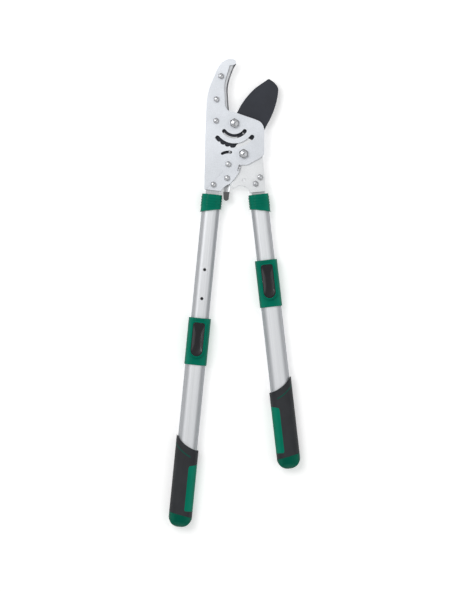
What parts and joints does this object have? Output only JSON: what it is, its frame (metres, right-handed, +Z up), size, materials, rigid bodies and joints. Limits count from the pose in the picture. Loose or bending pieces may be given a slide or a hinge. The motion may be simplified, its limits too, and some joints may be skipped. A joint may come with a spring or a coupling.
{
  "type": "loppers",
  "caption": "Ratchet bypass loppers with a hooked counter blade, a coated cutting blade, two telescopic tube handles with push locks, and soft grips.",
  "frame": {"origin": "bottom centre of the part's box as it lies flat, left handle two notches out, jaws open", "axes": "+Y from the grips to the hook tip, +X to the lever side, +Z up out of the front plate, along the pivot bolts"},
  "size_m": [0.2038, 0.7248, 0.033],
  "materials": {
    "satin_plate": "fine bead-blasted satin",
    "ground_steel": "ground",
    "zinc_fasteners": "bright zinc plate",
    "bush_steel": "turned, oiled",
    "coated_blade": "dark slate non-stick coating, semi-matt",
    "spring_wire": "drawn wire",
    "washer_plastic": "natural nylon",
    "plug_plastic": "moulded, pale teal",
    "tube_aluminium": "satin anodised",
    "green_plastic": "semi-gloss moulded green",
    "black_plastic": "glossy dark grey",
    "grip_rubber": "charcoal matt soft grip",
    "grey_plastic": "mid grey moulded"
  },
  "bodies": {
    "fixed_side": {"front_plate": "satin_plate", "rear_plate": "satin_plate", "counter_blade": "ground_steel", "pivot_bolts": "zinc_fasteners", "pivot_nuts": "zinc_fasteners", "pivot_bushes": "bush_steel", "frame_screws": "zinc_fasteners", "frame_nuts": "zinc_fasteners", "frame_sleeves": "zinc_fasteners", "hook_screws": "zinc_fasteners", "hook_nuts": "zinc_fasteners", "blade_washers": "washer_plastic", "blade_return_spring": "spring_wire", "left_tang": "bush_steel", "left_upper_tube": "tube_aluminium", "left_tube_plug": "plug_plastic", "left_tang_pin": "zinc_fasteners", "left_head_collar": "green_plastic", "left_guide_bush": "washer_plastic"},
    "cutting_blade": {"blade": "coated_blade", "blade_spring_post": "zinc_fasteners"},
    "lever": {"lever_front_cheek": "satin_plate", "lever_rear_cheek": "satin_plate", "lever_tang": "bush_steel", "lever_pivot_spacer": "ground_steel", "lever_screws": "zinc_fasteners", "lever_nuts": "zinc_fasteners", "drive_pawl_pin": "zinc_fasteners", "right_upper_tube": "tube_aluminium", "right_tube_plug": "plug_plastic", "right_tang_pin": "zinc_fasteners", "right_head_collar": "green_plastic", "right_guide_bush": "washer_plastic"},
    "drive_pawl": {"drive_pawl": "coated_blade"},
    "holding_pawl": {"holding_pawl": "coated_blade", "thumb_pin": "zinc_fasteners"},
    "safety_catch": {"catch_arm": "ground_steel", "catch_tab": "grey_plastic"},
    "left_lower_handle": {"left_lower_tube": "tube_aluminium", "left_lock_collar": "green_plastic", "left_lock_axle": "zinc_fasteners", "left_grip_sleeve": "grip_rubber", "left_grip_stripe": "green_plastic", "left_grip_inlay": "green_plastic", "left_end_cap": "green_plastic", "left_end_plug": "plug_plastic"},
    "right_lower_handle": {"right_lower_tube": "tube_aluminium", "right_lock_collar": "green_plastic", "right_lock_axle": "zinc_fasteners", "right_grip_sleeve": "grip_rubber", "right_grip_stripe": "green_plastic", "right_grip_inlay": "green_plastic", "right_end_cap": "green_plastic", "right_end_plug": "plug_plastic"},
    "left_lock": {"left_lock_pad": "black_plastic", "left_lock_pin": "zinc_fasteners", "left_lock_spring": "spring_wire"},
    "right_lock": {"right_lock_pad": "black_plastic", "right_lock_pin": "zinc_fasteners", "right_lock_spring": "spring_wire"}
  },
  "joints": [
    {"name": "handle_swing", "type": "hinge", "parent": "fixed_side", "child": "lever", "pos_m": [0.01416, 0.21527, 0.015], "axis": [0, 0, 1], "range_deg": [0, 48]},
    {"name": "blade_swing", "type": "hinge", "parent": "fixed_side", "child": "cutting_blade", "pos_m": [0.00006, 0.26257, 0.015], "axis": [0, 0, 1], "range_deg": [0, 52.2]},
    {"name": "drive_pawl_swing", "type": "hinge", "parent": "lever", "child": "drive_pawl", "pos_m": [0.00316, 0.21977, 0.015], "axis": [0, 0, -1], "range_deg": [-14.6, 3]},
    {"name": "holding_pawl_swing", "type": "hinge", "parent": "fixed_side", "child": "holding_pawl", "pos_m": [-0.00954, 0.19937, 0.015], "axis": [0, 0, 1], "range_deg": [-4.6, 33]},
    {"name": "catch_swing", "type": "hinge", "parent": "fixed_side", "child": "safety_catch", "pos_m": [-0.01144, 0.17797, 0.015], "axis": [0, 0, 1], "range_deg": [0, 38]},
    {"name": "left_handle_slide", "type": "slide", "parent": "fixed_side", "child": "left_lower_handle", "axis": [-0.0983, -0.9952, 0], "range_m": [-0.09, 0.135]},
    {"name": "right_handle_slide", "type": "slide", "parent": "lever", "child": "right_lower_handle", "axis": [0.1137, -0.9935, 0], "range_m": [0, 0.225]},
    {"name": "left_lock_rock", "type": "hinge", "parent": "left_lower_handle", "child": "left_lock", "pos_m": [-0.05669, -0.07158, 0.02735], "axis": [0.9952, -0.0983, 0], "range_deg": [-5, 4]},
    {"name": "right_lock_rock", "type": "hinge", "parent": "right_lower_handle", "child": "right_lock", "pos_m": [0.05243, 0.01821, 0.02735], "axis": [0.9935, 0.1137, 0], "range_deg": [-5, 4]}
  ]
}
